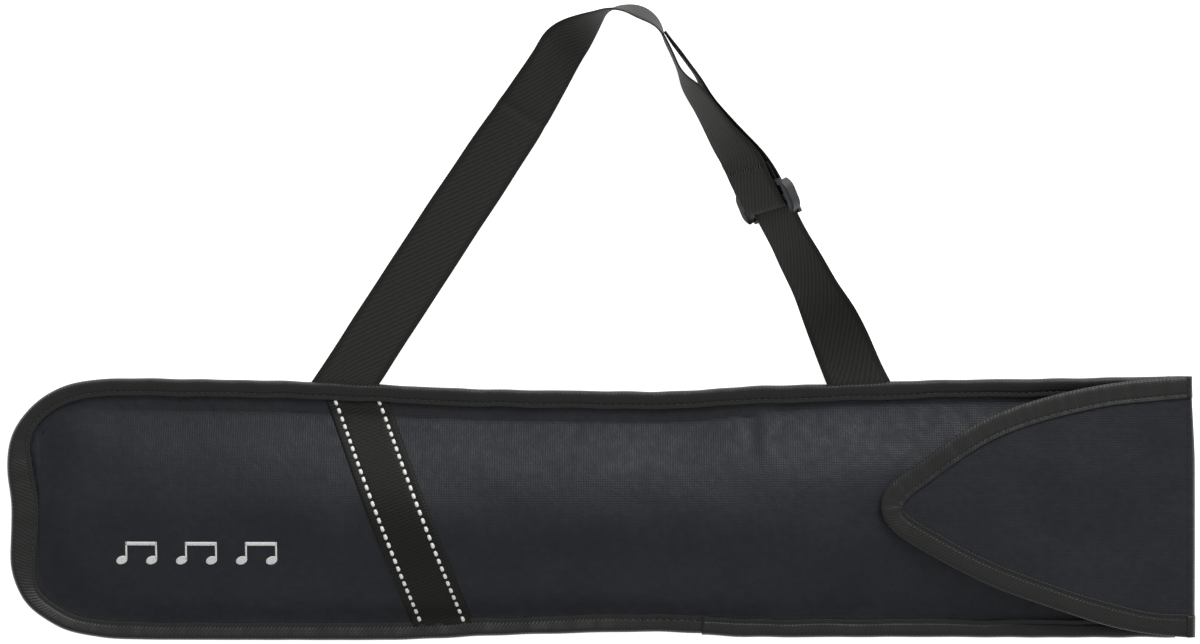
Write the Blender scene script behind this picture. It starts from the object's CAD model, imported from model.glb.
"""The looks of a padded carrying bag for a folded music stand: fabric, tape, webbing and thread."""
import math

import bmesh
import bpy
import numpy as np
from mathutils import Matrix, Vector
from bpy.props import FloatProperty, FloatVectorProperty, IntProperty, PointerProperty


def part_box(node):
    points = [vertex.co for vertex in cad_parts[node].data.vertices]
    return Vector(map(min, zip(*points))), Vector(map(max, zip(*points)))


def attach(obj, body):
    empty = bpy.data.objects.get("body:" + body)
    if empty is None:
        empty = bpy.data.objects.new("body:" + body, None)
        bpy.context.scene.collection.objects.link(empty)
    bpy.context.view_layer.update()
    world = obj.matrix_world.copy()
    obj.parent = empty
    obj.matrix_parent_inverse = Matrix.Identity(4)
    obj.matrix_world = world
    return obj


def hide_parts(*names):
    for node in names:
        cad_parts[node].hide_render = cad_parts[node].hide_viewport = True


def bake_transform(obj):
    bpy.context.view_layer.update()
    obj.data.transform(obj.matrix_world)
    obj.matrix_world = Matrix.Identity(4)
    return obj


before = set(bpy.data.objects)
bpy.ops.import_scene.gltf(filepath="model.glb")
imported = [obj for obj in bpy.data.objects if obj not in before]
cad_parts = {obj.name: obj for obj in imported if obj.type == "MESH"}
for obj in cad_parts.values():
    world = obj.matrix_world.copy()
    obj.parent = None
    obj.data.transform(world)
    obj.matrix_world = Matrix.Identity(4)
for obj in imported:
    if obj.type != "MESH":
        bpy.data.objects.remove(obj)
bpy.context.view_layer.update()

bl_info = {
    "name": "Music stand bag",
    "version": (1, 0, 0),
    "blender": (4, 5, 0),
    "location": "3D View > Sidebar > Bag",
    "description": "Builds the padded bag, its flap, tapes and strap round the packed frame",
    "category": "Object",
}

MM = 0.001

# Outlines, in millimetres, from the mouth round the closed end and back, anticlockwise.
BAG_EDGE = (
    (297.0, 66.0), (255.0, 65.3), (215.0, 64.6), (143.0, 63.2), (110.0, 61.8), (74.0, 60.8),
    (45.0, 58.8), (0.0, 58.5), (-55.0, 59.4), (-90.0, 60.7), (-150.0, 63.4), (-220.0, 64.7),
    (-250.5, 64.4), (-269.0, 60.8), (-283.0, 52.3), (-292.3, 41.0), (-296.8, 26.0),
    (-295.6, 8.0), (-294.8, -8.0), (-295.4, -24.0), (-293.2, -37.0), (-288.6, -46.0),
    (-280.6, -54.0), (-266.5, -61.4), (-246.5, -65.3), (-220.0, -66.2), (-153.0, -66.3),
    (-90.0, -65.8), (-60.0, -64.3), (-20.0, -63.1), (45.0, -62.7), (60.0, -63.6),
    (110.0, -64.2), (200.0, -64.3), (297.0, -64.3),
)
FLAP_EDGE = (
    (294.3, 65.9), (276.0, 64.6), (253.0, 62.0), (222.5, 55.5), (199.5, 48.0), (176.5, 35.8),
    (155.5, 20.8), (143.2, 11.0), (139.6, 2.8), (143.0, -8.0), (152.0, -15.8), (171.0, -26.8),
    (197.0, -39.5),
    (227.5, -50.4), (253.0, -58.5), (276.0, -63.0), (294.3, -64.6),
)
# How high the stuffed front stands above its seam, from the closed end to the mouth.
RISE = (
    (-284.0, 0.3), (-275.0, 2.4), (-263.0, 7.2), (-245.0, 12.4), (-215.0, 16.4), (-150.0, 19.2),
    (-20.0, 20.4), (60.0, 19.2), (190.0, 12.6), (295.0, 6.0),
)
SEAM = 3.4                # height of the seam where the front panel meets the back one
MOUTH_X = 281.0           # the front panel's free edge
ROOT_X = 294.3            # where the flap passes into its fold
ACCENT_TOP = (-123.4, 58.0)
ACCENT_FOOT = (-78.0, -60.0)
MARK_AT = (-199.0, -22.3)
JOIN_X = 50.0             # where the tape's second length laps over the first
TAPE_END_X = 289.0        # where both lengths of tape stop, inside the fold
STITCH_INSET = 2.1        # from a tape's inner edge to its seam
LINING = 0.3              # thickness of the linings
ACCENT_ROW = 10.9         # from the accent's middle to each row of stitches
PUCKER_PITCH = 17.0       # spacing of the puckers along the seams
CREASE_X = 75.5           # where the panel is creased down from its upper edge
NOTES = 6
NOTE_PITCH = 15.0
INK = 0.2
BACK_TOP = 3.15           # height of the back panel's upper face


def linear(code):
    """An sRGB hex colour as linear red, green and blue."""
    parts = np.array([int(code[i:i + 2], 16) / 255 for i in (1, 3, 5)])
    low = parts / 12.92
    high = ((parts + 0.055) / 1.055) ** 2.4
    return tuple(float(c) for c in np.where(parts <= 0.04045, low, high))


# ------------------------------------------------------------------ settings
class BagSizes(bpy.types.PropertyGroup):
    """Sizes that a user would change"""

    tape_width: FloatProperty(
        name="Tape width", description="How far the edge tape reaches in from the bag's edge",
        default=8.8 * MM, unit="LENGTH",
    )
    end_tape_width: FloatProperty(
        name="Tape width at the closed end", description="Where the tape is folded less evenly",
        default=13.6 * MM, unit="LENGTH",
    )
    flap_tape_width: FloatProperty(
        name="Flap tape width", description="How far the flap's tape reaches in from its edge",
        default=11.0 * MM, unit="LENGTH",
    )
    webbing_width: FloatProperty(
        name="Webbing width", description="Width of the strap", default=29.0 * MM, unit="LENGTH",
    )
    webbing_thick: FloatProperty(
        name="Webbing thickness", description="Thickness of the strap", default=1.4 * MM,
        unit="LENGTH",
    )
    thread_pitch: FloatProperty(
        name="Thread spacing", description="Spacing of the shell fabric's threads, as drawn",
        default=1.2 * MM, unit="LENGTH",
    )
    seam_stitch: FloatProperty(
        name="Seam stitch", description="Length of one stitch in the tapes", default=3.4 * MM,
        unit="LENGTH",
    )
    accent_stitches: IntProperty(
        name="Accent stitches", description="White stitches in each row", default=29, min=2,
    )


class BagColours(bpy.types.PropertyGroup):
    """Colours that a user would change"""

    shell: FloatVectorProperty(
        name="Shell", description="Woven polyester of the panels and the flap",
        default=linear("#202228"), subtype="COLOR", min=0, max=1,
    )
    tape: FloatVectorProperty(
        name="Tape", description="Binding tape", default=linear("#1f201e"), subtype="COLOR",
        min=0, max=1,
    )
    webbing: FloatVectorProperty(
        name="Webbing", description="Strap and accent webbing", default=linear("#2f2f2d"),
        subtype="COLOR", min=0, max=1,
    )
    thread: FloatVectorProperty(
        name="Accent thread", description="The bold stitches", default=linear("#f4f4f1"),
        subtype="COLOR", min=0, max=1,
    )
    slider: FloatVectorProperty(
        name="Slider", description="Moulded acetal", default=linear("#1d1f22"),
        subtype="COLOR", min=0, max=1,
    )


# ------------------------------------------------------------------ curves and fields
def spline(knots, values, at):
    """Natural cubic curve: pieces of third degree that pass through the values at the knots, with
    equal slope and bend where they meet and no bend at the two ends."""
    knots, values, at = (np.asarray(a, float) for a in (knots, values, at))
    step = np.diff(knots)
    count = len(knots)
    system = np.eye(count)
    bend = np.zeros((count,) + values.shape[1:])
    inner = np.arange(1, count - 1)
    system[inner, inner - 1] = step[:-1]
    system[inner, inner] = 2 * (step[:-1] + step[1:])
    system[inner, inner + 1] = step[1:]
    slope = np.diff(values, axis=0) / step.reshape((-1,) + (1,) * (values.ndim - 1))
    bend[1:-1] = 6 * np.diff(slope, axis=0)
    bend = np.linalg.solve(system, bend)
    place = np.clip(np.searchsorted(knots, at, side="right") - 1, 0, count - 2)
    shape = (-1,) + (1,) * (values.ndim - 1)
    width = step[place].reshape(shape)
    after = (at - knots[place]).reshape(shape)
    before = width - after
    return (
        (bend[place] * before**3 + bend[place + 1] * after**3) / (6 * width)
        + (values[place] / width - bend[place] * width / 6) * before
        + (values[place + 1] / width - bend[place + 1] * width / 6) * after
    )


def read_at(at, run, rows):
    """Rows of values along a line, read at other places on it by straight interpolation."""
    return np.stack([np.interp(at, run, column) for column in rows.T], axis=1)


def even_path(points, spacing, lead=2):
    """A smooth curve through points, cut into equal steps: the curve runs over chord length, and
    its first `lead` columns are the place that the steps are measured in."""
    points = np.asarray(points, float)
    chord = np.linalg.norm(np.diff(points[:, :lead], axis=0), axis=1)
    knots = reached(chord)
    fine = spline(knots, points, np.linspace(0, knots[-1], 4000))
    run = reached(np.linalg.norm(np.diff(fine[:, :lead], axis=0), axis=1))
    count = max(int(round(run[-1] / spacing)), 8) + 1
    at = np.linspace(0, run[-1], count)
    return read_at(at, run, fine), at


def unit(vectors):
    """Each vector divided by its own length."""
    return vectors / np.maximum(np.linalg.norm(vectors, axis=-1, keepdims=True), 1e-12)


def reached(steps):
    """How far along a line each place is, from the lengths of its steps."""
    return np.concatenate([[0], np.cumsum(steps)])


def smooth_step(value):
    """0 below 0, 1 above 1 and 3t squared minus 2t cubed between."""
    t = np.clip(value, 0, 1)
    return t * t * (3 - 2 * t)


def waves(x, y, length, seed, count=7):
    """A soft random field between about -1 and 1: the mean of sine waves of near lengths that run
    in seeded directions with seeded starts."""
    draw = np.random.default_rng(seed)
    total = np.zeros(np.broadcast(x, y).shape)
    headings = draw.uniform(0, math.pi, count)
    starts = draw.uniform(0, 2 * math.pi, count)
    stretches = draw.uniform(0.7, 1.4, count)
    for heading, start, stretch in zip(headings, starts, stretches):
        along = x * math.cos(heading) + y * math.sin(heading)
        total = total + np.sin(2 * math.pi * along / (length * stretch) + start)
    return total / math.sqrt(count)


QUARTER_TURN = np.array([[0.0, 1.0], [-1.0, 0.0]])
EDGE, EDGE_RUN = even_path(BAG_EDGE, 1.5)
EDGE_INWARD = unit(np.gradient(EDGE, axis=0)) @ QUARTER_TURN
FLAP, FLAP_RUN = even_path(FLAP_EDGE, 1.2)
FLAP_INWARD = unit(np.gradient(FLAP, axis=0)) @ QUARTER_TURN


def tape_reach(edge, sizes):
    """How far the tape reaches in, in mm: even along the sides and wider across the closed end,
    where it follows a bell curve of fourth power in Y."""
    side = sizes.tape_width / MM
    end = sizes.end_tape_width / MM
    at_end = smooth_step((-272.0 - edge[:, 0]) / 18.0) * np.exp(-((edge[:, 1] + 3) / 36.0) ** 4)
    return side + (end - side) * at_end


def limits(edge, inward, reach, x):
    """The upper and lower Y of an outline drawn in by reach, at each x."""
    line = edge + inward * np.reshape(reach, (-1, 1))
    turn = int(np.argmin(line[:, 0]))
    upper = line[:turn + 1][::-1]
    lower = line[turn:]
    return np.interp(x, upper[:, 0], upper[:, 1]), np.interp(x, lower[:, 0], lower[:, 1])


def rise(x):
    """Height of the stuffed front over its seam along the bag's middle, a smooth curve."""
    heights = np.array(RISE)
    flat = np.ravel(np.clip(x, heights[0, 0], heights[-1, 0]))
    return spline(heights[:, 0], heights[:, 1], flat).reshape(np.shape(x))


def panel_height(x, y, sizes):
    """Height of the front panel in mm: an arch between the tapes that leaves the seam flat (t
    squared over t plus three tenths, where t is the arch's share), with broad slack, fine slack,
    puckers that die away from the seam, and one crease down from the upper edge."""
    reach = tape_reach(EDGE, sizes)
    high, low = limits(EDGE, EDGE_INWARD, reach, x)
    slack_top = 1.5 + 4.5 * (1 - smooth_step((x - 40) / 90)) * smooth_step((x + 270) / 30)
    from_high, from_low = high - slack_top - y, y - low
    share = np.clip(4 * from_high * from_low / np.maximum(high - slack_top - low, 1) ** 2, 0, 1)
    toe = 1.3 * share**2 / (share + 0.3)
    height = SEAM + rise(x) * toe
    height = height + toe * (0.55 * waves(x, y * 1.6, 105, 3) + 0.20 * waves(x, y, 37, 5))
    from_high = from_high + slack_top
    near = np.minimum(np.abs(from_high), np.abs(from_low))
    pucker = np.sin(2 * math.pi * x / PUCKER_PITCH + 2.0 * waves(x, y, 60, 8))
    pucker = pucker * np.exp(-((near - 5) / 6) ** 2)
    height = height + 0.20 * pucker * smooth_step(share / 0.35)
    crease_x = CREASE_X + 0.05 * (from_high - 8)
    fade = smooth_step(from_high / 5) * (1 - smooth_step((from_high - 20) / 16))
    swell = 0.4 * np.exp(-((x - crease_x - 7.0) / 5.5) ** 2)
    dent = 0.65 * np.exp(-((x - crease_x) / 4.0) ** 2)
    return height + fade * (swell - dent)


def flap_height(x, y):
    """Height of the flap's middle layer in mm: over the stuffed front, flatter across than it is,
    with its tip pressed down and a little slack."""
    arch = 1 - 0.22 * (y / 58.0) ** 2
    tip = 1.3 * np.exp(-((x - 139.5) / 20.0) ** 2)
    slack = 0.30 * waves(x, y, 70, 21) + 0.10 * waves(x, y, 24, 22)
    return 6.3 + rise(x) * arch - tip + slack


# ------------------------------------------------------------------ meshes
def grid_faces(rows, columns, wrap_rows=False, wrap_columns=False):
    """Four-cornered faces of a grid, and the grid place of each corner before wrapping."""
    i, j = np.meshgrid(
        np.arange(rows if wrap_rows else rows - 1),
        np.arange(columns if wrap_columns else columns - 1), indexing="ij",
    )
    corner_i = np.stack([i, i + 1, i + 1, i], axis=-1).reshape(-1, 4)
    corner_j = np.stack([j, j, j + 1, j + 1], axis=-1).reshape(-1, 4)
    return (corner_i % rows) * columns + corner_j % columns, corner_i, corner_j


def piece_from(name, points, faces, uv, material, keep_open=False):
    """A finished piece: the points are millimetres in the row frame. Doubled points are merged,
    open ends are closed and every face is turned outwards."""
    mesh = bpy.data.meshes.new(name)
    mesh.from_pydata((points.reshape(-1, 3) * MM).tolist(), [], faces.tolist())
    layer = mesh.uv_layers.new(name="UVMap")
    layer.data.foreach_set("uv", (uv.reshape(-1, 2) * MM).astype(np.float32).ravel())
    work = bmesh.new()
    work.from_mesh(mesh)
    bmesh.ops.remove_doubles(work, verts=work.verts, dist=1e-7)
    if not keep_open:
        rims = [edge for edge in work.edges if edge.is_boundary]
        bmesh.ops.holes_fill(work, edges=rims, sides=0)
    bmesh.ops.recalc_face_normals(work, faces=work.faces)
    for face in work.faces:
        face.smooth = len(face.verts) <= 4
    work.to_mesh(mesh)
    work.free()
    mesh.materials.append(material)
    piece = bpy.data.objects.new(name, mesh)
    bpy.context.scene.collection.objects.link(piece)
    return piece


def tube_piece(name, rings, along, round_it, material):
    """A closed profile carried along a path: rings is (steps, profile points, 3)."""
    faces, row, column = grid_faces(rings.shape[0], rings.shape[1], wrap_columns=True)
    round_it = np.append(round_it, 2 * round_it[-1] - round_it[-2])
    uv = np.stack([np.asarray(along)[row], round_it[column]], axis=-1)
    return piece_from(name, rings, faces, uv, material)


def slab_piece(name, x, y, top, bottom, material):
    """A soft sheet with a rounded rim: each column of a grid goes across on the top face and
    comes back on the bottom one. x, y, top and bottom are (columns, rows) arrays."""
    middle = (top + bottom) / 2
    upper = np.stack([x, y, top], axis=-1)
    lower = np.stack([x, y, bottom], axis=-1)[:, ::-1]
    start = np.stack([x, y, middle], axis=-1)[:, :1]
    stop = np.stack([x, y, middle], axis=-1)[:, -1:]
    rings = np.concatenate([start, upper[:, 1:-1], stop, lower[:, 1:-1]], axis=1)
    faces, row, column = grid_faces(rings.shape[0], rings.shape[1], wrap_columns=True)
    wrapped = np.concatenate([rings, rings[:, :1]], axis=1)
    uv = wrapped[row, column][..., :2]
    return piece_from(name, rings, faces, uv, material)


def copies_piece(name, centres, ahead, up, outline, material):
    """Many copies of a closed grid: outline is (rows, columns, 3) along ahead, sideways and up."""
    side = np.cross(up, ahead)
    points = (
        centres[:, None, None]
        + outline[..., :1] * ahead[:, None, None]
        + outline[..., 1:2] * side[:, None, None]
        + outline[..., 2:] * up[:, None, None]
    )
    rows, columns = outline.shape[:2]
    faces, row, column = grid_faces(rows, columns, wrap_columns=True)
    offsets = np.arange(len(centres)) * rows * columns
    all_faces = (faces[None] + offsets[:, None, None]).reshape(-1, 4)
    uv = np.stack([row, column], axis=-1).astype(float)
    uv = np.tile(uv[None], (len(centres), 1, 1, 1))
    return piece_from(name, points, all_faces, uv, material)


def stitch_outline(long, wide, high, rows=7, columns=6):
    """One stitch: an ellipse of thread round a line that dips at both ends, so its middle stands
    proud and its ends go into the cloth. Thickness follows the square root of a semicircle."""
    along = -np.cos(np.linspace(0, math.pi, rows))
    body = np.sqrt(np.maximum(1 - along**2, 0)) ** 0.5
    turn = np.linspace(0, 2 * math.pi, columns, endpoint=False)
    x = np.repeat((along * long / 2)[:, None], columns, axis=1)
    y = body[:, None] * np.cos(turn) * wide / 2
    z = body[:, None] * np.sin(turn) * high / 2 - (along[:, None] ** 4) * high * 0.6
    return np.stack([x, y, z], axis=-1)


# ------------------------------------------------------------------ materials
def add_node(tree, kind, inputs=None, feeds=None, output=0, **settings):
    """Adds one node, sets it, sets or links its inputs, and links one output to what it feeds."""
    made = tree.nodes.new(kind)
    for name, value in settings.items():
        setattr(made, name, value)
    for socket, value in (inputs or {}).items():
        if isinstance(value, bpy.types.NodeSocket):
            tree.links.new(value, made.inputs[socket])
        else:
            made.inputs[socket].default_value = value
    if feeds is not None:
        tree.links.new(made.outputs[output], feeds)
    return made


def start_material(name, colour, rough, sheen=0.0, specular=0.4):
    """A material with its shader and output, and the tree to add a pattern to."""
    material = bpy.data.materials.new(name)
    material.use_nodes = True
    tree = material.node_tree
    tree.nodes.clear()
    shader = add_node(
        tree, "ShaderNodeBsdfPrincipled",
        {"Base Color": (*colour, 1), "Roughness": rough, "Specular IOR Level": specular,
         "Sheen Weight": sheen, "Sheen Roughness": 0.45},
    )
    add_node(tree, "ShaderNodeOutputMaterial", {"Surface": shader.outputs["BSDF"]})
    return material, tree, shader


def shades(colour, low, high):
    """The two colours of a Mix node that darken and lighten a base colour to shares of it."""
    dark = tuple(c * low for c in colour)
    light = tuple(min(c * high, 1.0) for c in colour)
    return {6: (*dark, 1), 7: (*light, 1)}


def band_scale(period):
    """The Wave node's scale for a period in metres: its bands repeat every 2 pi over 20 scales."""
    return 2 * math.pi / (20 * period)


def oxford_weave(name, colour, pitch):
    """Coated plain-weave polyester: matt, with a faint grid of threads and soft mottling where
    the coating lies unevenly. The real threads are half a millimetre apart, too fine to see, so
    they are drawn wider."""
    material, tree, shader = start_material(name, colour, 0.52, sheen=0.03, specular=0.27)
    place = add_node(tree, "ShaderNodeTexCoord").outputs["Object"]
    drift = add_node(tree, "ShaderNodeTexNoise", {"Vector": place, "Scale": 160.0, "Detail": 2.0})
    warp, weft = (
        add_node(
            tree, "ShaderNodeTexWave",
            {"Vector": place, "Scale": band_scale(pitch), "Distortion": 2.6, "Detail": 2.0,
             "Detail Scale": 2.0}, wave_type="BANDS", bands_direction=way,
        )
        for way in "XY"
    )
    threads = add_node(
        tree, "ShaderNodeMath", {0: warp.outputs["Fac"], 1: weft.outputs["Fac"]}, operation="ADD",
    )
    mottle = add_node(
        tree, "ShaderNodeTexNoise",
        {"Vector": place, "Scale": 240.0, "Detail": 4.0, "Roughness": 0.6},
    )
    broad = add_node(
        tree, "ShaderNodeTexNoise",
        {"Vector": place, "Scale": 28.0, "Detail": 3.0, "Roughness": 0.5},
    )
    height = add_node(
        tree, "ShaderNodeMath", {0: mottle.outputs["Fac"], 1: 7.0, 2: threads.outputs[0]},
        operation="MULTIPLY_ADD",
    )
    shade = add_node(
        tree, "ShaderNodeMath", {0: broad.outputs["Fac"], 1: mottle.outputs["Fac"]},
        operation="MULTIPLY",
    )
    spread = add_node(
        tree, "ShaderNodeMapRange", {0: shade.outputs[0], 1: 0.14, 2: 0.36, 3: 0.0, 4: 1.0},
    )
    add_node(
        tree, "ShaderNodeMix", {0: spread.outputs[0], **shades(colour, 0.82, 1.2)},
        feeds=shader.inputs["Base Color"], output=2, data_type="RGBA",
    )
    add_node(
        tree, "ShaderNodeMapRange", {0: drift.outputs["Fac"], 1: 0.3, 2: 0.7, 3: 0.46, 4: 0.62},
        feeds=shader.inputs["Roughness"],
    )
    add_node(
        tree, "ShaderNodeBump",
        {"Height": height.outputs[0], "Strength": 0.5, "Distance": 0.08 * MM},
        feeds=shader.inputs["Normal"],
    )
    return material


def ribbed_tape(name, colour, pitch, turn, depth=0.12, rough=0.45, gloss=0.34, selvedge=0.0):
    """Woven tape or webbing: raised ribs at a turn from its length, each thread a little lighter or
    darker than the next, with a dull gleam from the filament yarn and, when a selvedge spacing is
    given, darker woven edges that far apart. The pattern runs in the piece's own UV map, which is
    in metres along it and across it. Pitch and selvedge are in metres and depth in millimetres."""
    material, tree, shader = start_material(name, colour, rough, sheen=0.02, specular=gloss)
    flat = add_node(tree, "ShaderNodeTexCoord").outputs["UV"]
    turned = add_node(
        tree, "ShaderNodeMapping", {"Vector": flat, "Rotation": (0, 0, math.radians(turn))},
    ).outputs[0]
    ribs = add_node(
        tree, "ShaderNodeTexWave",
        {"Vector": turned, "Scale": band_scale(pitch), "Distortion": 0.8, "Detail": 2.0,
         "Detail Scale": 3.0}, wave_type="BANDS", bands_direction="X",
    )
    cross = add_node(
        tree, "ShaderNodeTexWave",
        {"Vector": flat, "Scale": band_scale(pitch * 0.55), "Distortion": 0.5},
        wave_type="BANDS", bands_direction="Y",
    )
    fleck = add_node(
        tree, "ShaderNodeTexNoise",
        {"Vector": flat, "Scale": 420.0, "Detail": 3.0, "Roughness": 0.6},
    )
    both = add_node(
        tree, "ShaderNodeMath", {0: cross.outputs["Fac"], 1: 0.35, 2: ribs.outputs["Fac"]},
        operation="MULTIPLY_ADD",
    )
    height = add_node(
        tree, "ShaderNodeMath", {0: fleck.outputs["Fac"], 1: 0.8, 2: both.outputs[0]},
        operation="MULTIPLY_ADD",
    )
    spread = add_node(
        tree, "ShaderNodeMapRange", {0: height.outputs[0], 1: 0.3, 2: 1.6, 3: 0.0, 4: 1.0},
    )
    shade = spread.outputs[0]
    if selvedge:
        border = add_node(
            tree, "ShaderNodeTexWave", {"Vector": flat, "Scale": band_scale(selvedge)},
            wave_type="BANDS", bands_direction="Y",
        )
        inside = add_node(
            tree, "ShaderNodeMapRange",
            {0: border.outputs["Fac"], 1: 0.05, 2: 0.16, 3: 0.0, 4: 1.0},
        )
        shade = add_node(
            tree, "ShaderNodeMath", {0: shade, 1: inside.outputs[0]}, operation="MULTIPLY",
        ).outputs[0]
    add_node(
        tree, "ShaderNodeMix", {0: shade, **shades(colour, 0.7, 1.2)},
        feeds=shader.inputs["Base Color"], output=2, data_type="RGBA",
    )
    add_node(
        tree, "ShaderNodeBump",
        {"Height": height.outputs[0], "Strength": 0.7, "Distance": depth * MM},
        feeds=shader.inputs["Normal"],
    )
    return material


def twisted_thread(name, colour, rough=0.55):
    """Thick spun thread: matt, with plies that wind round it, about three to a stitch."""
    material, tree, shader = start_material(name, colour, rough, sheen=0.2)
    flat = add_node(tree, "ShaderNodeTexCoord").outputs["UV"]
    turned = add_node(
        tree, "ShaderNodeMapping", {"Vector": flat, "Rotation": (0, 0, math.radians(40))},
    ).outputs[0]
    plies = add_node(
        tree, "ShaderNodeTexWave", {"Vector": turned, "Scale": band_scale(0.0021)},
        wave_type="BANDS", bands_direction="X",
    )
    add_node(
        tree, "ShaderNodeMix", {0: plies.outputs["Fac"], **shades(colour, 0.86, 1.06)},
        feeds=shader.inputs["Base Color"], output=2, data_type="RGBA",
    )
    add_node(
        tree, "ShaderNodeBump",
        {"Height": plies.outputs["Fac"], "Strength": 0.5, "Distance": 0.1 * MM},
        feeds=shader.inputs["Normal"],
    )
    return material


def moulded_acetal(name, colour):
    """Injection-moulded acetal: satin, with the fine spark-eroded grain of the mould."""
    material, tree, shader = start_material(name, colour, 0.42, specular=0.5)
    place = add_node(tree, "ShaderNodeTexCoord").outputs["Object"]
    grain = add_node(tree, "ShaderNodeTexNoise", {"Vector": place, "Scale": 1600.0, "Detail": 3.0})
    flow = add_node(tree, "ShaderNodeTexNoise", {"Vector": place, "Scale": 90.0, "Detail": 2.0})
    add_node(
        tree, "ShaderNodeMix", {0: flow.outputs["Fac"], **shades(colour, 0.88, 1.12)},
        feeds=shader.inputs["Base Color"], output=2, data_type="RGBA",
    )
    add_node(
        tree, "ShaderNodeMapRange", {0: flow.outputs["Fac"], 1: 0.3, 2: 0.7, 3: 0.34, 4: 0.5},
        feeds=shader.inputs["Roughness"],
    )
    add_node(
        tree, "ShaderNodeBump",
        {"Height": grain.outputs["Fac"], "Strength": 0.3, "Distance": 0.05 * MM},
        feeds=shader.inputs["Normal"],
    )
    return material


def screen_print(name, colour):
    """Screen-printed ink: an even matt film that sinks into the weave and wears thin in spots."""
    material, tree, shader = start_material(name, colour, 0.5, specular=0.4)
    place = add_node(tree, "ShaderNodeTexCoord").outputs["Object"]
    wear = add_node(tree, "ShaderNodeTexNoise", {"Vector": place, "Scale": 900.0, "Detail": 3.0})
    spread = add_node(
        tree, "ShaderNodeMapRange", {0: wear.outputs["Fac"], 1: 0.25, 2: 0.5, 3: 0.0, 4: 1.0},
    )
    add_node(
        tree, "ShaderNodeMix", {0: spread.outputs[0], **shades(colour, 0.75, 1.0)},
        feeds=shader.inputs["Base Color"], output=2, data_type="RGBA",
    )
    add_node(
        tree, "ShaderNodeBump",
        {"Height": wear.outputs["Fac"], "Strength": 0.4, "Distance": 0.08 * MM},
        feeds=shader.inputs["Normal"],
    )
    return material


def fuzzy_pile(name, colour):
    """Hook-and-loop tape: a dense matt pile with tiny bright crowns."""
    material, tree, shader = start_material(name, colour, 0.85, sheen=0.3)
    place = add_node(tree, "ShaderNodeTexCoord").outputs["Object"]
    cells = add_node(tree, "ShaderNodeTexVoronoi", {"Vector": place, "Scale": 1100.0})
    add_node(
        tree, "ShaderNodeMix", {0: cells.outputs["Distance"], **shades(colour, 1.5, 0.6)},
        feeds=shader.inputs["Base Color"], output=2, data_type="RGBA",
    )
    add_node(
        tree, "ShaderNodeBump",
        {"Height": cells.outputs["Distance"], "Strength": 0.9, "Distance": 0.3 * MM},
        feeds=shader.inputs["Normal"], invert=True,
    )
    return material


MATERIALS = {}


def accent_heading():
    """The accent webbing's heading in degrees, which brings its ribs square across it."""
    fall, shift = ACCENT_TOP[1] - ACCENT_FOOT[1], ACCENT_FOOT[0] - ACCENT_TOP[0]
    return math.degrees(math.atan2(fall, shift))


def finish_for(key):
    """The material of one kind, made the first time it is asked for."""
    if key not in MATERIALS:
        colours = bpy.context.scene.bag_colours
        sizes = bpy.context.scene.bag_sizes
        makers = {
            "shell": lambda: oxford_weave(
                "woven_oxford_polyester", colours.shell, sizes.thread_pitch,
            ),
            "lining": lambda: oxford_weave("nylon_lining", linear("#202124"), 0.9 * MM),
            "tape": lambda: ribbed_tape("ribbed_binding_tape", colours.tape, 1.5 * MM, 38),
            "webbing": lambda: ribbed_tape(
                "polypropylene_webbing", colours.webbing, 2.1 * MM, 58, rough=0.6, gloss=0.1,
                selvedge=sizes.webbing_width + 0.5 * MM,
            ),
            "accent": lambda: ribbed_tape(
                "accent_webbing_weave", linear("#1f1f1c"), 1.7 * MM, accent_heading(),
                depth=0.2, rough=0.55, gloss=0.15,
            ),
            "thread": lambda: twisted_thread("white_spun_thread", colours.thread),
            "seam_thread": lambda: twisted_thread("black_spun_thread", linear("#242523"), 0.6),
            "slider": lambda: moulded_acetal("moulded_acetal", colours.slider),
            "print": lambda: screen_print("screen_print_white", linear("#e9eae8")),
            "pile": lambda: fuzzy_pile("hook_and_loop_pile", linear("#1c1d1f")),
        }
        MATERIALS[key] = makers[key]()
    return MATERIALS[key]


# ------------------------------------------------------------------ panels
def panel_grid(first_x, last_x, inset, columns, rows):
    """X and Y of a grid over the bag inside an inset outline. Columns crowd towards the closed
    end, where the outline turns, and rows crowd towards the seams."""
    lean = np.linspace(0, 1, columns)
    x = first_x + (last_x - first_x) * (0.75 * lean + 0.25 * lean**3)
    high, low = limits(EDGE, EDGE_INWARD, np.full(len(EDGE), inset), x)
    across = 0.5 - 0.5 * np.cos(np.linspace(0, math.pi, rows))
    across = 0.6 * across + 0.4 * np.linspace(0, 1, rows)
    y = low[:, None] + (high - low)[:, None] * across
    return np.repeat(x[:, None], rows, axis=1), y


class BAG_OT_front_panel(bpy.types.Operator):
    """Builds the stuffed front panel and its lining"""

    bl_idname = "bag.front_panel"
    bl_label = "Front panel"

    def execute(self, context):
        sizes = context.scene.bag_sizes
        x, y = panel_grid(-291.0, MOUTH_X, 5.0, 420, 96)
        top = panel_height(x, y, sizes)
        pad = slab_piece(
            "front_panel_pad", x, y, top, np.maximum(top - 2.0, SEAM + 0.1), finish_for("shell"),
        )
        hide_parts("front_panel_outer", "front_panel_foam")
        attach(pad, "bag")
        x, y = panel_grid(-282.0, MOUTH_X - 0.5, 11.0, 120, 40)
        over = panel_height(x, y, sizes)
        top = np.minimum(np.maximum(over - 2.1, SEAM + 0.35), over - 0.4)
        lining = slab_piece(
            "front_panel_lining_cloth", x, y, top, top - LINING, finish_for("lining"),
        )
        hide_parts("front_panel_lining")
        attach(lining, "bag")
        return {"FINISHED"}


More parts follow.
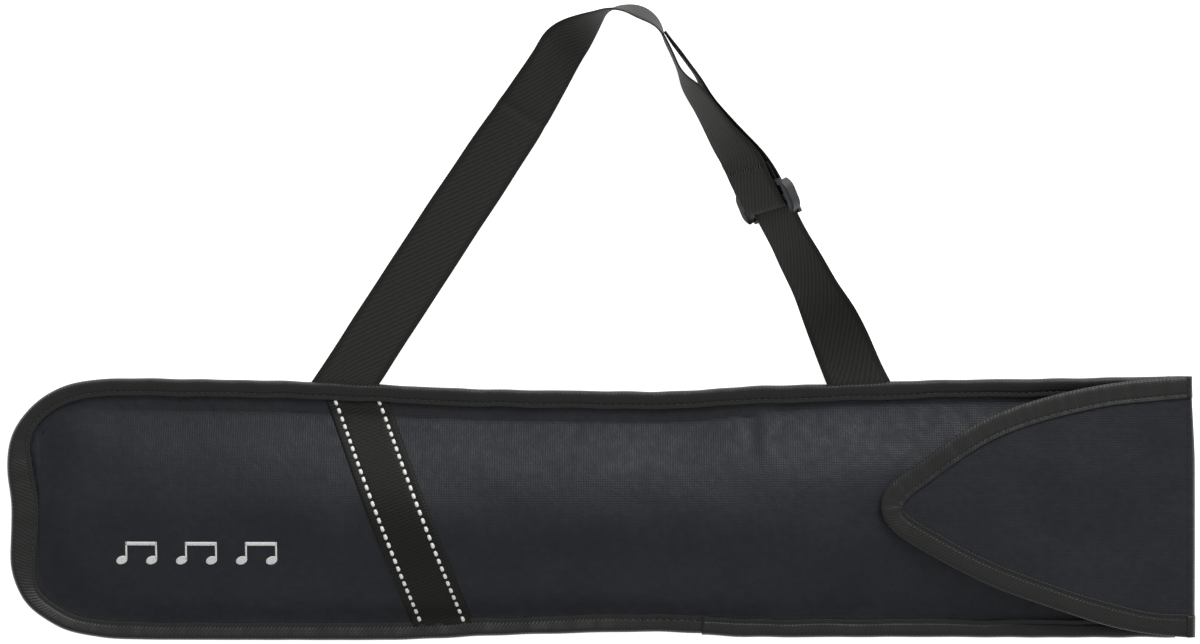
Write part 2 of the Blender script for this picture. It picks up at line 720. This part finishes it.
class BAG_OT_back_panel(bpy.types.Operator):
    """Builds the back panel, which the bag lies on, and its lining"""

    bl_idname = "bag.back_panel"
    bl_label = "Back panel"

    def execute(self, context):
        sizes = context.scene.bag_sizes
        x, y = panel_grid(-291.0, 288.0, 5.0, 300, 64)
        high, low = limits(EDGE, EDGE_INWARD, tape_reach(EDGE, sizes), x)
        near = np.clip(np.minimum(high - y, y - low), -6, 60)
        pressed = smooth_step(near / 9.0)
        slack = 0.12 * waves(x, y, 60, 31) + 0.06 * waves(x, y, 20, 32)
        bottom = 0.9 - 0.75 * pressed + np.abs(slack) * pressed
        pad = slab_piece(
            "back_panel_pad", x, y, np.full_like(x, BACK_TOP), bottom, finish_for("shell"),
        )
        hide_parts("back_panel_outer", "back_panel_foam")
        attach(pad, "bag")
        x, y = panel_grid(-290.0, MOUTH_X + 2.0, 5.0, 80, 24)
        top = np.full_like(x, 3.5) + 0.03 * waves(x, y, 30, 33)
        lining = slab_piece(
            "back_panel_lining_cloth", x, y, top, top - LINING, finish_for("lining"),
        )
        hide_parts("back_panel_lining")
        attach(lining, "bag")
        return {"FINISHED"}


# ------------------------------------------------------------------ tapes
def leaf(reach, top_edge, top_inner, low_edge, low_inner, groove, points=40):
    """The outline of folded tape, seen along it, as distance in from the edge and height: up the
    rounded outer edge, in along the upper leaf to its raised inner selvedge, and back along the
    lower leaf, with a groove where the stitches pull. Each argument before the groove is one
    number, or one for every step along the tape."""
    share = np.linspace(0, 1, points)[None]
    reach, top_edge, top_inner, low_edge, low_inner = (
        np.reshape(a, (-1, 1))
        for a in np.broadcast_arrays(reach, top_edge, top_inner, low_edge, low_inner)
    )
    middle = (top_edge + low_edge) / 2
    turn = 1 - np.exp(-share * reach / 0.9)
    upper_in = share * reach
    upper = middle + (top_edge + (top_inner - top_edge) * share - middle) * turn
    upper = upper - groove * np.exp(-((reach - upper_in - STITCH_INSET) / 0.5) ** 2)
    upper = upper + 0.25 * np.exp(-((reach - upper_in) / 0.9) ** 2)
    lower = middle + (low_edge + (low_inner - low_edge) * share - middle) * turn
    in_from_edge = np.concatenate([upper_in, upper_in[:, :0:-1]], axis=1)
    height = np.concatenate([upper, lower[:, :0:-1]], axis=1)
    return in_from_edge, height


def seam_stitches(name, places, ahead, up, sizes, ride_on):
    """A row of machine stitches: one thread lump for each stitch length along a seam."""
    long = sizes.seam_stitch / MM
    outline = stitch_outline(long * 0.86, 0.55, 0.5, rows=5, columns=5)
    piece = copies_piece(
        name, places, ahead, up, outline, finish_for("seam_thread"),
    )
    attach(piece, ride_on)
    return piece


def along_path(path, run, pitch):
    """Places and directions every pitch along a path, by straight interpolation."""
    at = np.arange(run[0] + pitch / 2, run[-1], pitch)
    return read_at(at, run, path), unit(read_at(at, run, np.gradient(path, axis=0)))


class BAG_OT_edge_tape(bpy.types.Operator):
    """Builds the tape round the bag's seam, in its two lengths, and its stitching"""

    bl_idname = "bag.edge_tape"
    bl_label = "Edge tape"

    def execute(self, context):
        sizes = context.scene.bag_sizes
        reach = tape_reach(EDGE, sizes) + 0.25 * waves(EDGE_RUN, 0 * EDGE_RUN, 40, 41)
        rim_x = EDGE[:, 0]
        swell = 0.18 * waves(EDGE_RUN, 0 * EDGE_RUN, 19, 42)
        swell = swell + 0.12 * waves(EDGE_RUN, 0 * EDGE_RUN, 8, 43)
        upper_side = smooth_step((EDGE[:, 1] + 20) / 50)
        full = smooth_step((40 - rim_x) / 60) * (1 - upper_side)
        top_edge = 5.7 + 1.6 * full + 1.8 * upper_side + swell
        top_inner = 4.5 - 0.8 * full + 0.4 * upper_side + 0.5 * swell
        inside, height = leaf(reach, top_edge, top_inner, 0.25, 0.10, 0.30)
        rim = EDGE + EDGE_INWARD * (0.12 * waves(EDGE_RUN, 0 * EDGE_RUN, 23, 44))[:, None]
        flat = rim[:, None] + EDGE_INWARD[:, None] * inside[..., None]
        rings = np.concatenate([flat, height[..., None]], axis=-1)
        run = reached(np.abs(np.diff(inside[0])))
        shown = rim_x < TAPE_END_X
        tail = shown & (rim_x > JOIN_X) & (EDGE[:, 1] < 0)
        main = shown & ~(tail & (rim_x > JOIN_X + 5))
        cut_end = np.exp(-((rim_x[tail] - JOIN_X) / 3.0) ** 2)
        lapped = rings[tail].copy()
        lapped[..., :2] -= EDGE_INWARD[tail][:, None] * 0.7
        lapped[..., 2] += (0.5 + 0.4 * cut_end)[:, None] * smooth_step((lapped[..., 2] - 2.5) / 2)
        pieces = (
            ("edge_tape", rings[main], EDGE_RUN[main], "edge_binding"),
            ("edge_tape_tail", lapped, EDGE_RUN[tail], "edge_binding_tail"),
        )
        for name, shape, along, node in pieces:
            tape = tube_piece(name, shape, along, run, finish_for("tape"))
            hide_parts(node)
            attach(tape, "bag")
        line = EDGE + EDGE_INWARD * (reach - STITCH_INSET)[:, None]
        seam = np.concatenate([line, (top_inner + 0.4)[:, None]], axis=1)[shown]
        place, ahead = along_path(seam, EDGE_RUN[shown], sizes.seam_stitch / MM)
        up = np.tile([0.0, 0.0, 1.0], (len(place), 1))
        seam_stitches("edge_tape_stitches", place, ahead, up, sizes, "bag")
        return {"FINISHED"}


class BAG_OT_mouth_tape(bpy.types.Operator):
    """Builds the tape over the front panel's free edge at the mouth"""

    bl_idname = "bag.mouth_tape"
    bl_label = "Mouth tape"

    def execute(self, context):
        sizes = context.scene.bag_sizes
        y = np.linspace(-54.0, 54.5, 150)
        x = np.full_like(y, MOUTH_X + 0.6)
        over = panel_height(x - 6, y, sizes)
        inside, height = leaf(12.0, over + 0.7, over + 0.35, over - 2.5, over - 2.5, 0.15)
        rings = np.stack(
            [x[:, None] - inside, np.repeat(y[:, None], inside.shape[1], 1), height], axis=-1,
        )
        run = reached(np.abs(np.diff(inside[0])))
        tape = tube_piece("mouth_tape", rings, y, run, finish_for("tape"))
        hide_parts("mouth_binding")
        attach(tape, "bag")
        return {"FINISHED"}


# ------------------------------------------------------------------ trim on the front
class BAG_OT_accent(bpy.types.Operator):
    """Builds the slanting accent webbing and its two rows of white stitches"""

    bl_idname = "bag.accent"
    bl_label = "Accent webbing"

    def execute(self, context):
        sizes = context.scene.bag_sizes
        top, foot = np.array(ACCENT_TOP), np.array(ACCENT_FOOT)
        run = foot - top
        ahead = run / np.linalg.norm(run)
        half = sizes.webbing_width / MM / 2 / -ahead[1]
        lengthwise, crosswise = np.meshgrid(
            np.linspace(0, 1, 160), np.linspace(-half, half, 61), indexing="ij",
        )
        x = top[0] + run[0] * lengthwise + crosswise
        y = top[1] + run[1] * lengthwise
        pressed = 0.28 * np.exp(-((np.abs(crosswise) - ACCENT_ROW) / 1.6) ** 2)
        selvedge = 0.25 * smooth_step((np.abs(crosswise) - half + 1.2) / 1.2)
        base = panel_height(x, y, sizes)
        band = slab_piece(
            "accent_band", x, y, base + 0.95 - pressed - selvedge, base - 0.1,
            finish_for("accent"),
        )
        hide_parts("accent_webbing")
        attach(band, "bag")
        places, directions = [], []
        for side in (-ACCENT_ROW, ACCENT_ROW):
            share = np.linspace(0.046, 0.964, 400)
            line = np.stack([top[0] + run[0] * share + side, top[1] + run[1] * share], axis=1)
            over = panel_height(line[:, 0], line[:, 1], sizes) + 0.85
            line = np.concatenate([line, over[:, None]], axis=1)
            step = np.linalg.norm(np.diff(line, axis=0), axis=1)
            length = reached(step)
            at = np.linspace(0, length[-1], sizes.accent_stitches)
            places.append(read_at(at, length, line))
            directions.append(read_at(at, length, np.gradient(line, axis=0)))
        places, direction = np.concatenate(places), unit(np.concatenate(directions))
        side = unit(np.cross([0.0, 0.0, 1.0], direction))
        up = np.cross(direction, side)
        outline = stitch_outline(3.15, 1.8, 1.1, rows=9, columns=10)
        stitches = copies_piece(
            "accent_thread", places, direction, up, outline, finish_for("thread"),
        )
        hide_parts("accent_stitches")
        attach(stitches, "bag")
        return {"FINISHED"}


def patch_grid(centre, radii, turn, rows=5, columns=20):
    """A disc as rings round its middle: an ellipse with radii turned by an angle."""
    radius = np.linspace(0, 1, rows)[:, None]
    angle = np.linspace(0, 2 * math.pi, columns, endpoint=False)[None]
    u = radius * np.cos(angle) * radii[0]
    v = radius * np.sin(angle) * radii[1]
    tilt = math.radians(turn)
    x = centre[0] + u * math.cos(tilt) - v * math.sin(tilt)
    return x, centre[1] + u * math.sin(tilt) + v * math.cos(tilt)


class BAG_OT_mark(bpy.types.Operator):
    """Builds the printed row of beamed notes"""

    bl_idname = "bag.mark"
    bl_label = "Printed mark"

    def execute(self, context):
        sizes = context.scene.bag_sizes
        shapes = []
        stem_left, stem_right, stem_foot, stem_top, beam_foot = -0.15, 0.75, -3.3, 5.8, 4.0
        for count in range(NOTES):
            note_x = MARK_AT[0] + (count - (NOTES - 1) / 2) * NOTE_PITCH
            head = patch_grid((note_x - 2.0, MARK_AT[1] - 3.4), (2.9, 2.0), 20)
            shapes.append((*head, True))
            stem = np.meshgrid(
                np.linspace(note_x + stem_left, note_x + stem_right, 3),
                np.linspace(MARK_AT[1] + stem_foot, MARK_AT[1] + stem_top, 12), indexing="ij",
            )
            shapes.append((*stem, False))
            if count % 2 == 0:
                beam = np.meshgrid(
                    np.linspace(note_x + stem_left, note_x + NOTE_PITCH + stem_right, 18),
                    np.linspace(MARK_AT[1] + beam_foot, MARK_AT[1] + stem_top, 4), indexing="ij",
                )
                shapes.append((*beam, False))
        points, faces, start = [], [], 0
        for x, y, wrapped in shapes:
            z = panel_height(x, y, sizes) + 0.16
            points.append(np.stack([x, y, z], axis=-1).reshape(-1, 3))
            grid = grid_faces(*x.shape, wrap_columns=wrapped)[0]
            faces.append(grid + start)
            start += x.size
        points, faces = np.concatenate(points), np.concatenate(faces)
        uv = points[faces][..., :2]
        mark = piece_from(
            "note_print", points, faces, uv, finish_for("print"), keep_open=True,
        )
        thick = mark.modifiers.new("ink", "SOLIDIFY")
        thick.thickness = INK * MM
        thick.offset = 0
        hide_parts("printed_mark")
        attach(mark, "bag")
        return {"FINISHED"}


# ------------------------------------------------------------------ flap
class BAG_OT_flap(bpy.types.Operator):
    """Builds the flap, its lining, its tape and its stitching"""

    bl_idname = "bag.flap"
    bl_label = "Flap"

    def execute(self, context):
        sizes = context.scene.bag_sizes
        lean = np.linspace(0, 1, 150)
        rows = 90
        first = FLAP[:, 0].min() + 3.2
        x = first + (ROOT_X - first) * (0.4 * lean + 0.6 * lean**2)
        high, low = limits(FLAP, FLAP_INWARD, np.full(len(FLAP), 3.0), x)
        across = np.linspace(0, 1, rows)
        y = low[:, None] + (high - low)[:, None] * across
        x = np.repeat(x[:, None], rows, axis=1)
        middle = flap_height(x, y)
        pad = slab_piece(
            "flap_pad", x, y, middle + 0.85, middle - 0.45, finish_for("shell"),
        )
        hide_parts("flap_outer", "flap_stiffener")
        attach(pad, "flap")
        x, y, middle = x[::2, ::2], y[::2, ::2], middle[::2, ::2]
        lining = slab_piece(
            "flap_lining_cloth", x, y, middle - 0.5, middle - 0.5 - LINING, finish_for("lining"),
        )
        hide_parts("flap_lining")
        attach(lining, "flap")
        reach = sizes.flap_tape_width / MM + 0.25 * waves(FLAP_RUN, 0 * FLAP_RUN, 37, 51)
        swell = 0.12 * waves(FLAP_RUN, 0 * FLAP_RUN, 16, 52)
        swell = swell + 0.08 * waves(FLAP_RUN, 0 * FLAP_RUN, 7, 53)
        inside, height = leaf(reach, 1.55 + swell, 1.35 + swell, -1.15, -1.1, 0.25)
        flat = FLAP[:, None] + FLAP_INWARD[:, None] * inside[..., None]
        under = flap_height(flat[..., 0], flat[..., 1])
        rings = np.concatenate([flat, (under + height)[..., None]], axis=-1)
        run = reached(np.abs(np.diff(inside[0])))
        tape = tube_piece("flap_tape", rings, FLAP_RUN, run, finish_for("tape"))
        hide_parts("flap_binding")
        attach(tape, "flap")
        line = FLAP + FLAP_INWARD * (reach - STITCH_INSET)[:, None]
        over = flap_height(line[:, 0], line[:, 1]) + 1.3 + swell
        seam = np.concatenate([line, over[:, None]], axis=1)
        place, ahead = along_path(seam, FLAP_RUN, sizes.seam_stitch / MM)
        up = unit(np.cross(ahead, np.cross([0.0, 0.0, 1.0], ahead)))
        seam_stitches("flap_tape_stitches", place, ahead, up, sizes, "flap")
        return {"FINISHED"}


LEAD = 1.2                # how far the fold's cloth runs on over the flap
FOLD_X = 297.2            # outermost line of the fold
FOLD_IN = 1.7             # how far the fold is pulled in at its upper end
TAIL_X = 284.0            # where the fold's cloth ends under the back panel


def fold_rings(y, thick, proud, steps=40):
    """The fold at the mouth for each y: from the flap's root, round a half ellipse and back along
    the floor, as an outer line and an inner one that is `thick` inside it. Its upper end runs out
    to nothing over the flap, so that no step shows."""
    outer_x = FOLD_X - FOLD_IN * smooth_step((y - 20) / 45.0) + proud * 0.4
    turn = np.linspace(math.pi / 2, -math.pi / 2, steps)[None]
    lead = np.linspace(ROOT_X - LEAD, ROOT_X, 6)[None]
    tail = np.linspace(0, 1, 6)[None]
    lines = []
    for inner in (0.0, thick):
        low = 0.25 + inner - min(proud, 0.9) * 0.2
        reach_x = (outer_x - ROOT_X - inner)[:, None]
        top = (flap_height(np.full_like(y, ROOT_X), y) + proud - inner)[:, None]
        half, middle = (top - low) / 2, (top + low) / 2
        round_x = ROOT_X + reach_x * np.abs(np.cos(turn)) ** 0.8
        round_z = middle + half * np.sin(turn)
        lead_x = np.repeat(lead, len(y), axis=0)
        lead_z = flap_height(lead_x, y[:, None]) + proud
        lead_z = lead_z - inner * smooth_step((lead - lead[0, 0]) / LEAD)
        tail_x = np.repeat(ROOT_X + (TAIL_X - ROOT_X) * tail[:, 1:], len(y), axis=0)
        x = np.concatenate([lead_x[:, :-1], round_x, tail_x], axis=1)
        z = np.concatenate([lead_z[:, :-1], round_z, np.full(tail_x.shape, low)], axis=1)
        lines.append(np.stack([x, np.repeat(y[:, None], x.shape[1], 1), z], axis=-1))
    return np.concatenate([lines[0], lines[1][:, :0:-1]], axis=1)


class BAG_OT_fold(bpy.types.Operator):
    """Builds the fold that joins the back panel to the flap, and the tape on its two ends"""

    bl_idname = "bag.fold"
    bl_label = "Fold"

    def execute(self, context):
        parts = (
            ("fold_cloth", np.linspace(-63.0, 64.2, 120), 0.9, 0.89, "shell", "shell_fabric"),
            ("fold_tape_upper", np.linspace(55.2, 65.9, 14), 1.5, 1.62, "tape", "binding_tape"),
            ("fold_tape_lower", np.linspace(-64.6, -53.9, 14), 1.5, 1.62, "tape", "binding_tape"),
        )
        for name, y, thick, proud, finish, slot in parts:
            rings = fold_rings(y, thick, proud)
            step = np.linalg.norm(np.diff(rings[len(y) // 2], axis=0), axis=1)
            run = reached(step)
            piece = tube_piece(name, rings, y, run, finish_for(finish))
            if name == "fold_cloth":
                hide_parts("flap_fold")
            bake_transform(piece)
        return {"FINISHED"}


def pile_pad(name, node, body, height_at, lift, seed):
    """A patch of hook or loop tape: a grid just inside its node's box, with a fine random nap."""
    low, high = (np.array(corner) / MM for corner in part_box(node))
    low, high = low + 0.3, high - 0.3
    x, y = np.meshgrid(
        np.linspace(low[0], high[0], 90), np.linspace(low[1], high[1], 60), indexing="ij",
    )
    nap = 0.09 * waves(x, y, 1.3, seed, 9)
    base = height_at(x, y) + lift
    pad = slab_piece(name, x, y, base + 0.55 + nap, base, finish_for("pile"))
    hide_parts(node)
    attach(pad, body)


class BAG_OT_closure(bpy.types.Operator):
    """Builds the hook patch under the flap and the loop patch on the front"""

    bl_idname = "bag.closure"
    bl_label = "Hook and loop closure"

    def execute(self, context):
        sizes = context.scene.bag_sizes
        over_panel = lambda x, y: panel_height(x, y, sizes)
        pile_pad("loop_pad", "loop_patch", "bag", over_panel, -0.1, 61)
        pile_pad("hook_pad", "hook_patch", "flap", flap_height, -1.3, 62)
        return {"FINISHED"}


# ------------------------------------------------------------------ strap
RUN = np.array([0.4714, -0.8819, 0.0])      # down the right leg
LEVEL = np.array([0.8819, 0.4714, 0.0])     # across it, on the level
SLIDER_Z = 18.5
SLIDER_AT = np.array([83.9, 153.4, SLIDER_Z])
SLIDER_ROLL = 50.0
COCKED = 8.6                                # the slider's turn on the webbing
NECK_X = 6.0                                # where the webbing stands on edge at the top


def beside(down, out, height, roll):
    """A place on the right leg, measured down it from the slider and out to its right."""
    at = SLIDER_AT + RUN * down + LEVEL * out
    return (at[0], at[1], height, roll)


# Places along the webbing: x, y, z of its middle and its roll in degrees.
UPPER_ROUTE = (
    (-131.4, 56.8, 3.4, 0), (-127.0, 63.5, 3.6, 0), (-107.0, 94.0, 4.6, 0),
    (-78.5, 137.3, 7.0, 8), (-48.5, 182.5, 10.4, 18), (-25.0, 218.8, 13.8, 36),
    (-20.8, 226.2, 14.4, 38), (-18.2, 230.4, 14.8, 39), (-15.6, 233.2, 15.1, 43),
    (-8.2, 239.6, 15.8, 60), (-1.4, 245.0, 16.3, 78), (2.9, 247.9, 16.5, 88),
    (7.6, 249.3, 16.5, 95), (12.6, 249.4, 16.5, 100), (18.9, 247.9, 16.5, 105),
    (25.4, 244.4, 16.5, 103), (29.5, 240.0, 16.5, 97), (32.0, 234.8, 16.5, 91),
    (34.3, 230.0, 16.6, 90), (37.0, 224.2, 16.9, 90), (39.2, 218.8, 17.3, 89),
    (42.4, 212.4, 17.9, 81), (45.8, 208.2, 18.3, 75), (49.6, 203.4, 18.8, 72),
    beside(-46.8, -5.5, 19.3, 66), beside(-33.0, -4.2, 20.0, 57),
)
LOWER_ROUTE = (
    (32.6, 237.4, 16.5, 92), (35.2, 233.6, 16.5, 91), (39.6, 227.8, 16.5, 90),
    (44.9, 220.6, 16.7, 90), (49.6, 213.4, 17.0, 88), beside(-60.0, -3.2, 17.4, 80),
    beside(-51.0, -3.5, 17.7, 72), beside(-39.0, -2.5, 18.1, 63), beside(-30.0, -1.5, 18.3, 56),
    beside(-19.5, 0, SLIDER_Z, SLIDER_ROLL), beside(12.0, 0, SLIDER_Z, SLIDER_ROLL),
    beside(22.5, 0, SLIDER_Z, SLIDER_ROLL), beside(31.0, 0, 18.1, 47), beside(39.0, 0, 17.6, 45),
    (108.0, 108.4, 15.2, 42), (113.9, 97.4, 11.4, 29), (120.5, 82.4, 6.8, 13),
    (127.5, 66.4, 3.9, 2), (131.9, 58.0, 3.5, 0),
)
SEWN_LEAN = 26.0          # length over which a sewn end leans to the seam
TACKS = 13
TACK_REACH = 11.5         # from the leg's middle to the last tack stitch
# Round the two high bars: down the leg, out of the slider's face, in millimetres.
WRAP = (
    (-22.0, 3.4), (-15.0, 4.1), (-9.0, 4.3), (-2.0, 4.3), (2.6, 4.15), (4.2, 2.9), (2.6, 1.5),
    (-4.0, 1.42), (-12.0, 1.42), (-19.5, 1.5),
)


def crossways(ahead, roll):
    """Which way the webbing's width points: level across its run, then rolled up on edge."""
    flat = unit(np.stack([-ahead[:, 1], ahead[:, 0], np.zeros(len(ahead))], axis=1))
    tilt = np.radians(roll)[:, None]
    return flat * np.cos(tilt) + np.array([0.0, 0.0, 1.0]) * np.sin(tilt)


def with_width(route):
    """Route rows of place and roll as rows of place, width direction and no slant."""
    route = np.array(route, float)
    ahead = unit(np.gradient(route[:, :3], axis=0))
    across = crossways(ahead, route[:, 3])
    return np.concatenate([route[:, :3], across, np.zeros((len(route), 1))], axis=1)


def slider_axes():
    """The slider's own directions: along its bars, down the leg and out of its face."""
    tilt, cock = math.radians(SLIDER_ROLL), math.radians(COCKED)
    across = np.array([-RUN[1], RUN[0], 0.0]) * math.cos(tilt) + np.array([0, 0, math.sin(tilt)])
    face = np.cross(RUN, across)
    bars = across * math.cos(cock) + RUN * math.sin(cock)
    return bars, np.cross(bars, face), face


def webbing_rings(stations, sizes, sewn_at, crease=None):
    """Webbing carried along stations of place, width direction and slant. Its cross-section is a
    superellipse, flat on both faces with thin round selvedges; a slant of 1 lets its cross
    threads lean along it while its width stays the same. A crease is a bell-shaped dent across
    it, as a place along its length and a depth. The end that is sewn in, 0 or -1, leans until
    it's level with the seam. Returns the rings and the distances along and round them."""
    path, run = even_path(stations, 1.2, lead=3)
    ahead = unit(np.gradient(path[:, :3], axis=0))
    across = path[:, 3:6]
    leaning = ahead * np.sum(across * ahead, axis=1, keepdims=True)
    square = across - leaning
    across = (square + leaning * path[:, 6:]) / np.linalg.norm(square, axis=1, keepdims=True)
    face = np.cross(ahead, unit(square))
    turn = np.linspace(0, 2 * math.pi, 44, endpoint=False)
    side = np.sign(np.cos(turn)) * np.abs(np.cos(turn)) ** 0.42 * sizes.webbing_width / MM / 2
    thick = np.sign(np.sin(turn)) * np.abs(np.sin(turn)) ** 0.75 * sizes.webbing_thick / MM / 2
    centre = path[:, :3].copy()
    if crease is not None:
        place, deep = crease
        centre = centre - face * (deep * np.exp(-((run - place) / 2.6) ** 2))[:, None]
    centre = centre + across * (0.15 * waves(run, 0 * run, 45, 71))[:, None]
    rings = centre[:, None] + across[:, None] * side[:, None] + face[:, None] * thick[:, None]
    near = 1 - smooth_step(np.abs(run - run[sewn_at]) / SEWN_LEAN)
    lean = (across[:, None, 1] * side[None, :]) / ahead[sewn_at, 1] * near[:, None]
    rings = rings - ahead[:, None] * lean[:, :, None]
    width = reached(np.hypot(np.diff(side), np.diff(thick)))
    return rings, run, width


class BAG_OT_strap(bpy.types.Operator):
    """Builds the strap's webbing: the upper one up to its loop, and the lower one with its tail"""

    bl_idname = "bag.strap"
    bl_label = "Strap"

    def execute(self, context):
        sizes = context.scene.bag_sizes
        webbing = finish_for("webbing")
        bars, down, face = slider_axes()
        wrap = [[*(SLIDER_AT + RUN * u + face * n), *bars, 1.0] for u, n in WRAP]
        upper = np.concatenate([with_width(UPPER_ROUTE), wrap])
        rings, run, width = webbing_rings(upper, sizes, 0, crease=(168.0, 0.5))
        neck = int(np.argmin(np.abs(rings.mean(axis=1)[:, 0] - NECK_X)))
        left = tube_piece(
            "strap_left_leg", rings[:neck + 1], run[:neck + 1], width, webbing,
        )
        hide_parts("strap_upper")
        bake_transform(left)
        doubled = tube_piece("strap_doubled", rings[neck:], run[neck:], width, webbing)
        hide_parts("slider_loop")
        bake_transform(doubled)
        rings, run, width = webbing_rings(with_width(LOWER_ROUTE), sizes, -1)
        right = tube_piece("strap_right_leg", rings, run, width, webbing)
        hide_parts("strap_lower")
        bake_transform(right)
        tack_at = np.linspace(-TACK_REACH, TACK_REACH, TACKS)
        places = SLIDER_AT + RUN * -18.5 + face * 4.55 + bars * tack_at[:, None]
        ahead = np.tile(down, (len(places), 1))
        up = np.tile(face, (len(places), 1))
        tack = copies_piece(
            "loop_tack_thread", places, ahead, up, stitch_outline(2.4, 1.2, 0.6),
            finish_for("seam_thread"),
        )
        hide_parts("loop_tack")
        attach(tack, "slider")
        return {"FINISHED"}


class BAG_OT_slider(bpy.types.Operator):
    """Gives the three-bar slider its moulded finish"""

    bl_idname = "bag.slider"
    bl_label = "Slider"

    def execute(self, context):
        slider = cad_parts["strap_slider"]
        for place in slider.material_slots:
            place.material = finish_for("slider")
        return {"FINISHED"}


# ------------------------------------------------------------------ stage
class BAG_OT_stage(bpy.types.Operator):
    """Sets the pale floor, the soft light and the camera above the bag"""

    bl_idname = "bag.stage"
    bl_label = "Stage"

    def execute(self, context):
        scene = context.scene
        half, under = 6.0, -0.0004
        corners = [(-half, -half), (half, -half), (half, half), (-half, half)]
        mesh = bpy.data.meshes.new("floor")
        mesh.from_pydata([(x, y, under) for x, y in corners], [], [(0, 1, 2, 3)])
        floor = bpy.data.objects.new("floor", mesh)
        scene.collection.objects.link(floor)
        paper, _, shader = start_material(
            "white_paper_sweep", linear("#f7f7f7"), 0.9, specular=0.1,
        )
        shader.inputs["Emission Color"].default_value = (1, 1, 1, 1)
        shader.inputs["Emission Strength"].default_value = 0.8
        mesh.materials.append(paper)
        world = bpy.data.worlds.new("soft_room")
        world.use_nodes = True
        sky = world.node_tree.nodes["Background"]
        sky.inputs["Color"].default_value = (1, 1, 1, 1)
        sky.inputs["Strength"].default_value = 0.5
        scene.world = world
        lamp = bpy.data.lights.new("key_softbox", "AREA")
        lamp.energy, lamp.size = 50.0, 1.3
        holder = bpy.data.objects.new("key_softbox", lamp)
        holder.location = (0.97, 2.08, 1.22)
        aim = Vector((0.0, 0.05, 0.0)) - holder.location
        holder.rotation_euler = aim.to_track_quat("-Z", "Y").to_euler()
        scene.collection.objects.link(holder)
        camera = bpy.data.cameras.new("camera")
        camera.sensor_width, camera.lens, camera.clip_end = 36.0, 150.0, 20.0
        holder = bpy.data.objects.new("camera", camera)
        holder.location = (0.0, 0.093, 2.508)
        scene.collection.objects.link(holder)
        scene.camera = holder
        scene.view_settings.view_transform = "Standard"
        return {"FINISHED"}


class BAG_PT_panel(bpy.types.Panel):
    """Lists the bag's settings and pieces in the sidebar"""

    bl_idname = "BAG_PT_panel"
    bl_label = "Music stand bag"
    bl_space_type = "VIEW_3D"
    bl_region_type = "UI"
    bl_category = "Bag"

    def draw(self, context):
        for group in (context.scene.bag_sizes, context.scene.bag_colours):
            for name in group.__annotations__:
                self.layout.prop(group, name)
        for operator in OPERATORS:
            self.layout.operator(operator.bl_idname)


OPERATORS = (
    BAG_OT_stage, BAG_OT_back_panel, BAG_OT_front_panel, BAG_OT_edge_tape, BAG_OT_mouth_tape,
    BAG_OT_accent, BAG_OT_mark, BAG_OT_flap, BAG_OT_fold, BAG_OT_closure, BAG_OT_strap,
    BAG_OT_slider,
)
CLASSES = (BagSizes, BagColours, *OPERATORS, BAG_PT_panel)


def register():
    """Adds the classes and the scene's settings"""
    for entry in CLASSES:
        bpy.utils.register_class(entry)
    bpy.types.Scene.bag_sizes = PointerProperty(type=BagSizes)
    bpy.types.Scene.bag_colours = PointerProperty(type=BagColours)


def unregister():
    """Removes what register added"""
    del bpy.types.Scene.bag_colours
    del bpy.types.Scene.bag_sizes
    for entry in reversed(CLASSES):
        bpy.utils.unregister_class(entry)


def main():
    register()
    for operator in OPERATORS:
        group, name = operator.bl_idname.split(".")
        getattr(getattr(bpy.ops, group), name)()
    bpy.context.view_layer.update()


if __name__ == "__main__":
    main()
